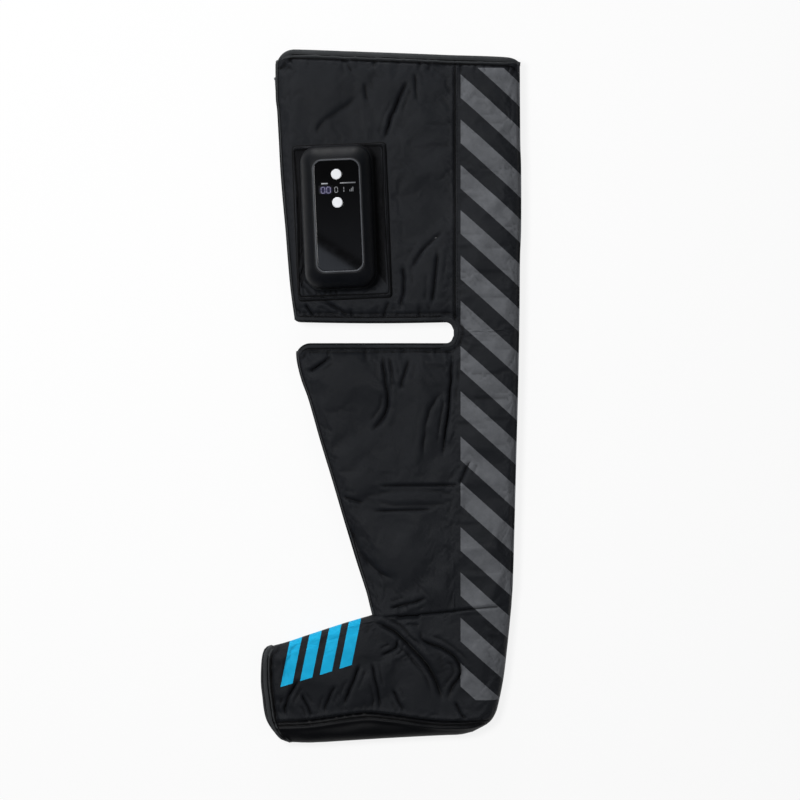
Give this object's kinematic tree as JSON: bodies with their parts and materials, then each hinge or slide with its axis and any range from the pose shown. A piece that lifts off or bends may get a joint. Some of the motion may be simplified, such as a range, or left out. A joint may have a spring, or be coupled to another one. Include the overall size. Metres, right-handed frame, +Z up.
{
  "type": "leg compression boot",
  "caption": "Black full-leg air compression boot lying flat, with a knee slot, open toe, front zips and a control unit pocketed on the thigh.",
  "frame": {"origin": "centre of the part's bounding box in plan, on the surface the boot lies on", "axes": "+X towards the back of the leg (toe points to -X), +Y towards the hip (cuff up in the picture), +Z up from the surface towards the control unit"},
  "size_m": [0.3298, 0.8812, 0.0746],
  "materials": {
    "nylon": "black woven nylon, faint sheen, grey printed bars on the back and blue bars on the instep",
    "nylon_smooth": "smooth coated black nylon",
    "binding": "black edge binding",
    "lining": "black lining cloth",
    "chamber_film": "thermoplastic film",
    "zip_tape": "black woven tape",
    "zip_plastic": "black moulded teeth",
    "zip_metal": "black coated die casting",
    "pocket_fabric": "black nylon patch with a stitched border",
    "case_plastic": "satin black moulding",
    "seal_rubber": "soft black rubber",
    "trim_metal": "satin grey trim",
    "panel_gloss": "gloss black panel with lit digits",
    "button_white": "white push buttons",
    "board": "green circuit board",
    "display": "dark display block",
    "switch": "black push switches",
    "cell_wrap": "blue wrapped cells",
    "motor_steel": "plated steel",
    "valve_plastic": "natural plastic",
    "hose_silicone": "translucent white silicone",
    "screw_steel": "plain steel"
  },
  "bodies": {
    "boot": {"thigh_panel_near": "nylon", "thigh_panel_far": "nylon", "calf_panel_near": "nylon", "calf_panel_far": "nylon", "back_panel": "nylon", "foot_upper": "nylon", "sole_panel": "nylon_smooth", "cuff_binding": "binding", "thigh_hem_binding": "binding", "calf_hem_binding": "binding", "slot_end_binding": "binding", "toe_binding": "binding", "leg_lining": "lining", "foot_lining": "lining", "thigh_air_chamber": "chamber_film", "calf_air_chamber": "chamber_film", "ankle_air_chamber": "chamber_film", "foot_air_chamber": "chamber_film", "thigh_zip_tape": "zip_tape", "calf_zip_tape": "zip_tape", "thigh_zip_teeth": "zip_plastic", "calf_zip_teeth": "zip_plastic", "thigh_zip_stops": "zip_plastic", "calf_zip_stops": "zip_plastic", "pump_pocket": "pocket_fabric", "pump_rear_case": "case_plastic", "pump_front_case": "case_plastic", "case_seal": "seal_rubber", "trim_ring": "trim_metal", "face_panel": "panel_gloss", "main_board": "board", "display_module": "display", "button_switches": "switch", "battery_cells": "cell_wrap", "battery_cradle": "case_plastic", "pump_motor": "motor_steel", "pump_head": "valve_plastic", "motor_saddle": "seal_rubber", "valve_manifold": "valve_plastic", "feed_tube": "hose_silicone", "solenoid_valves": "motor_steel", "charge_port": "motor_steel", "charge_board": "board", "case_screws": "screw_steel", "outlet_elbows": "valve_plastic", "air_hoses": "hose_silicone", "chamber_ports": "valve_plastic"},
    "power_button": {"power_button": "button_white"},
    "mode_button": {"mode_button": "button_white"},
    "thigh_slider": {"thigh_zip_slider": "zip_metal"},
    "thigh_pull": {"thigh_zip_pull": "zip_metal"},
    "calf_slider": {"calf_zip_slider": "zip_metal"},
    "calf_pull": {"calf_zip_pull": "zip_metal"}
  },
  "joints": [
    {"name": "power_press", "type": "slide", "parent": "boot", "child": "power_button", "axis": [0, 0, -1], "range_m": [0, 0.001], "stiffness_N_per_m": 400},
    {"name": "mode_press", "type": "slide", "parent": "boot", "child": "mode_button", "axis": [0, 0, -1], "range_m": [0, 0.001], "stiffness_N_per_m": 400},
    {"name": "thigh_zip_slide", "type": "slide", "parent": "boot", "child": "thigh_slider", "axis": [0.0751, -0.9972, 0], "range_m": [0, 0.2895]},
    {"name": "calf_zip_slide", "type": "slide", "parent": "boot", "child": "calf_slider", "axis": [0.2697, -0.9629, 0], "range_m": [0, 0.2906]},
    {"name": "thigh_pull_hinge", "type": "hinge", "parent": "thigh_slider", "child": "thigh_pull", "pos_m": [-0.147, 0.406, 0.015], "axis": [0, 0, -1], "range_deg": [0, 150]},
    {"name": "calf_pull_hinge", "type": "hinge", "parent": "calf_slider", "child": "calf_pull", "pos_m": [-0.11798, 0.04991, 0.015], "axis": [0, 0, -1], "range_deg": [0, 150]}
  ]
}
